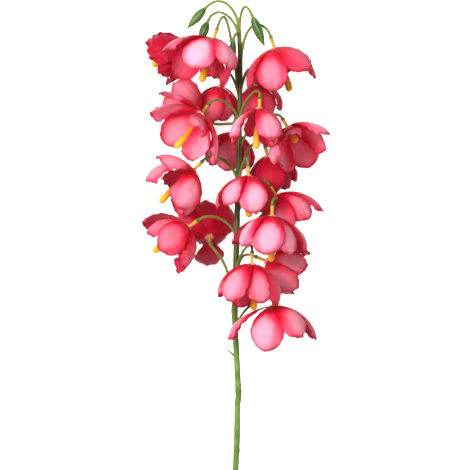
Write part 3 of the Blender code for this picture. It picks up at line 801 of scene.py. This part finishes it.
def bud_material(blotches):
    """Green bud with pale seams between its folded sepals, yellower at the stalk."""
    material, tree, shader = new_material("green_bud")
    along, ridge = mark(tree, "along"), mark(tree, "ridge")
    cloud, grain = use_group(tree, blotches, {"Patch Scale": 90.0, "Grain Scale": 1500.0})
    body = mixed(tree, smooth_step(tree, cloud, 0.3, 0.7), colour(0.030, 0.078, 0.010),
                 colour(0.085, 0.165, 0.026))
    seam = mixed(tree, smooth_step(tree, ridge + 0.4 * (cloud - 0.5), 0.35, 1.0, 0.0, 0.55), body,
                 colour(0.15, 0.26, 0.070))
    foot = mixed(tree, smooth_step(tree, along, 0.0, 0.12, 0.8, 0.0), seam, colour(0.24, 0.26, 0.040))
    tree.links.new(foot, shader.inputs["Base Color"])
    tree.links.new((0.42 + 0.25 * (cloud - 0.5)).socket, shader.inputs["Roughness"])
    raised(tree, shader, ridge * -0.3 + grain * 0.5, 0.0004, 0.6)
    return material


# ---------------------------------------------------------------- pieces

def finish_piece(piece, node):
    """A finished piece stands for its solid, hides it and hangs from the root body."""
    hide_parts(node)
    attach(piece, "root")


def rest_on_surface(mesh):
    """Petals that reach the surface lie flat on it, their lower wall under their upper one."""
    soft = 0.4 * MM
    for vertex in mesh.vertices:
        if vertex.co.z < soft:
            vertex.co.z = soft * math.exp((vertex.co.z - soft) / soft)


def petal_tone_and_shade(bloom, form, turn, own):
    """Its flower's tone with painted shade: deeper on petals that face right, away from the key light, and on
    those that face down; deeper too on those that face far left and on a lip, with a little that is its own.
    """
    angle = math.radians(turn)
    outward = bloom_matrix(bloom).to_3x3() @ Vector((math.cos(angle), math.sin(angle), 0))
    # painted shade: petals that face right, away from the key light, or face down get deeper crimson
    tone = TONES_AND_SHADE[bloom.name] + 0.50 * max(outward.x - 0.25, 0) + 0.35 * max(-outward.z, 0)
    tone += 0.35 * max(-outward.x - 0.6, 0) + 0.12 * own
    return min(tone + (LIP_TONE if form is LIP else 0.0), DARKEST)


def make_hub(bloom):
    """The ring round the flower's neck that its petals grow from."""
    section = [(HUB_RADIUS * share * bloom.size, height) for share, height in HUB_PROFILE]
    section = [(HUB_BORE, section[0][1]), *section, (HUB_BORE, section[-1][1])]
    count = len(section)
    corners, faces = [], []
    for side in range(HUB_SIDES):
        turn = math.tau * side / HUB_SIDES
        corners += [(radius * math.cos(turn) * MM, radius * math.sin(turn) * MM, z * MM) for radius, z in section]
        near, far = side * count, (side + 1) % HUB_SIDES * count
        faces += [(near + i, far + i, far + (i + 1) % count, near + (i + 1) % count) for i in range(count)]
    mesh = bpy.data.meshes.new(bloom.name + "_hub")
    mesh.from_pydata(corners, [], faces)
    mesh.shade_smooth()
    return mesh


def make_petals(bloom, tree, draw, material):
    """All petals of a flower, each with the small differences of its own."""
    layers = []
    for number, (form, azimuth) in enumerate(WHORL):
        opening = bloom.opening + bloom.spread[number]
        root_drift, tip_drift, phase = draw.uniform(-4, 4), draw.uniform(-8, 8), draw.uniform(0, math.tau)
        turn = azimuth + bloom.turn[number] + draw.uniform(-3, 3)
        # an inner petal that opens wider than the dorsal sepal lies over it from its root on
        over = min(max(bloom.spread[number] - bloom.spread[0] - 0.05, 0) / 0.2, 1) if form is PETAL else 0
        lower, curl, sway = PASSING.get((bloom.name, number), (0, 0, 0))
        layers.append((tree, {
            "Length": form.length, "Width": form.width, "Size": bloom.size, "Thickness": PETAL_THICKNESS,
            "Root Angle": math.radians(form.root_angle + LAP_ANGLE * over + ROOT_OPENING * opening
                                       + root_drift + lower),
            "Tip Angle": math.radians(form.tip_angle + TIP_OPENING * opening + tip_drift),
            "Root Radius": form.root_radius + 0.5 * over, "Root Height": form.root_height - 1.3 * over,
            "Azimuth": math.radians(turn), "Cup": math.radians(form.cup), "Claw": form.claw,
            "Ruffle": form.ruffle, "Waves": form.waves, "Phase": phase,
            "Frill": form.frill * CRUMPLE.get(bloom.name, 1.0), "Crease": form.crease,
            "Curl": 3.2 + 2.2 * math.sin(phase * 3 + number) + curl,
            "Sway": 2.2 * math.sin(phase * 5 + 2 * number) + sway,
            "Tone And Shade": petal_tone_and_shade(bloom, form, turn, math.sin(phase * 4 + 3 * number)),
            "Lip": float(form is LIP), "Seed": round(phase * 7 + number, 3),
            "Across": PETAL_ACROSS + 1, "Rows": PETAL_ROWS + 1, "Material": material,
        }))
    name = bloom.name.replace("bloom", "petals")
    piece = grown(name, make_hub(bloom), layers, bloom_matrix(bloom))
    rest_on_surface(piece.data)
    return piece


def make_core(bloom, stalk, pollen, number, material):
    """Yellow neck through the petals' roots, and the pollen-covered column inside them."""
    length = COLUMN_LENGTH * bloom.column
    places = [Vector((0, 0, height)) for height, _ in NECK_PROFILE]
    radii = [NECK_RADIUS * share for _, share in NECK_PROFILE]
    for along, share in COLUMN_PROFILE:
        lean = COLUMN_BOW * math.sin(math.pi * BOW_SHARE * along)
        places.append(Vector((-lean, 0, COLUMN_START + (length - COLUMN_START) * along)))
        radii.append(COLUMN_RADIUS * share * UNDER_POLLEN)
    path, thick = smooth_rod([spot * bloom.size for spot in places], radii, ROD_STEPS)
    name = bloom.name.replace("bloom", "core")
    layers = [
        (stalk, {"Spacing": 0.9 * MM, "Ridges": 6.0, "Ridge Depth": 0.03, "Lumps": 0.45 * MM,
                 "Lump Scale": 700.0, "Sides": 20, "Material": material}),
        (pollen, {"Density": 9.0e5, "Grain Size": 0.40 * MM, "From": 0.34, "Seed": number,
                  "Material": material}),
    ]
    return grown(name, rod_curve(name, [(path, thick)]), layers, bloom_matrix(bloom))


def make_stem(stalk, material):
    """The stem with every stalk, its leaf sheath and its bract."""
    rods = [stem_path()]
    rods += [stalk_path(bloom) for bloom in BLOOMS]
    rods += [bud_stalk_path(bud) for bud in BUDS]
    for route, radii in SHEATHS:
        rods.append(smooth_rod([Vector((x, y, z + STEM_HEIGHT)) for x, y, z in route], radii, SHEATH_STEPS))
    layers = [(stalk, {"Spacing": 1.4 * MM, "Ridges": 7.0, "Ridge Depth": 0.035, "Lumps": 0.8 * MM,
                       "Lump Scale": 160.0, "Sides": 28, "Material": material})]
    return grown("green_stem", rod_curve("green_stem", rods), layers)


def make_bud(bud, stalk, material):
    """A closed bud with six folded seams and a pointed tip."""
    places = [Vector((0, 0, bud.length * along)) for along, _ in BUD_PROFILE]
    places[0].z -= BUD_FOOT
    path, radii = smooth_rod(places, [bud.width / 2 * share for _, share in BUD_PROFILE], ROD_STEPS)
    place_bud = Matrix.Translation(bud_top(bud) * MM) @ bud_axis(bud).to_track_quat("Z", "X").to_matrix().to_4x4()
    name = "closed_" + bud.name
    layers = [(stalk, {"Spacing": 0.7 * MM, "Ridges": 6.0, "Ridge Depth": 0.07, "Lumps": 0.3 * MM,
                       "Lump Scale": 250.0, "Sides": 36, "Material": material})]
    return grown(name, rod_curve(name, [(path, radii)]), layers, place_bud)


# ---------------------------------------------------------------- studio

def make_floor():
    """A wide pale surface under the spike."""
    mesh = bpy.data.meshes.new("floor")
    reach = 3.0
    mesh.from_pydata([(-reach, -reach, 0), (reach, -reach, 0), (reach, reach, 0), (-reach, reach, 0)], [],
                     [(0, 1, 2, 3)])
    floor = bpy.data.objects.new("floor", mesh)
    bpy.context.scene.collection.objects.link(floor)
    material, _, shader = new_material("pale_floor")
    shader.inputs["Base Color"].default_value = colour(0.93, 0.93, 0.93)
    shader.inputs["Roughness"].default_value = 0.8
    shader.inputs["Specular IOR Level"].default_value = 0.1
    shader.inputs["Emission Color"].default_value = colour(1.0, 1.0, 1.0)
    shader.inputs["Emission Strength"].default_value = 0.82
    mesh.materials.append(material)
    floor.visible_diffuse = False


def make_light(name, place_at, aim, power, size):
    """A round soft light that points at aim."""
    lamp = bpy.data.lights.new(name, "AREA")
    lamp.shape = "DISK"
    lamp.energy = power
    lamp.size = size
    light = bpy.data.objects.new(name, lamp)
    light.location = place_at
    light.rotation_euler = (Vector(aim) - Vector(place_at)).to_track_quat("-Z", "Y").to_euler()
    bpy.context.scene.collection.objects.link(light)


def make_studio():
    """White surroundings, brighter above, the floor and two lights."""
    scene = bpy.context.scene
    scene.view_settings.view_transform = "Standard"
    world = bpy.data.worlds.new("studio")
    world.use_nodes = True
    tree = world.node_tree
    where = place(tree, "ShaderNodeTexCoord").outputs["Generated"]
    direction = place(tree, "ShaderNodeSeparateXYZ", {0: where})
    above = smooth_step(tree, Field(tree, direction.outputs[2]), -0.5, 0.5, 0.26, 0.36)
    tree.nodes["Background"].inputs["Color"].default_value = colour(1.0, 1.0, 1.0)
    tree.links.new(above.socket, tree.nodes["Background"].inputs["Strength"])
    scene.world = world
    make_floor()
    make_light("key", (-0.8, 0.5, 1.6), (0.0, 0.02, 0.06), 47.0, 0.9)
    make_light("fill", (1.0, -0.6, 1.5), (0.0, 0.0, 0.06), 8.0, 1.4)


def make_camera():
    """Straight above the stem's middle, far enough away that the spike keeps its proportions."""
    distance, view_width = 5.0, 0.564
    data = bpy.data.cameras.new("camera")
    data.lens = data.sensor_width * distance / view_width
    data.clip_end = 20.0
    camera = bpy.data.objects.new("camera", data)
    camera.location = (0.0, 0.0, STEM_HEIGHT * MM + distance)
    bpy.context.scene.collection.objects.link(camera)
    bpy.context.scene.camera = camera


def main():
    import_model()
    make_camera()
    make_studio()
    streaks, blotches = streak_group(), blotch_group()
    petal, core = petal_material(streaks, blotches), core_material(blotches)
    green, bud_green = stem_material(blotches), bud_material(blotches)
    petal_shape, stalk_shape, pollen_shape = petal_tree(), stalk_tree(), pollen_tree()
    draw = random.Random(PETAL_SEED)
    finish_piece(make_stem(stalk_shape, green), "stem")
    for number, bloom in enumerate(BLOOMS, 1):
        finish_piece(make_petals(bloom, petal_shape, draw, petal), bloom.name)
        core_piece = make_core(bloom, stalk_shape, pollen_shape, number, core)
        finish_piece(core_piece, bloom.name.replace("bloom", "column"))
    for bud in BUDS:
        finish_piece(make_bud(bud, stalk_shape, bud_green), bud.name)


main()
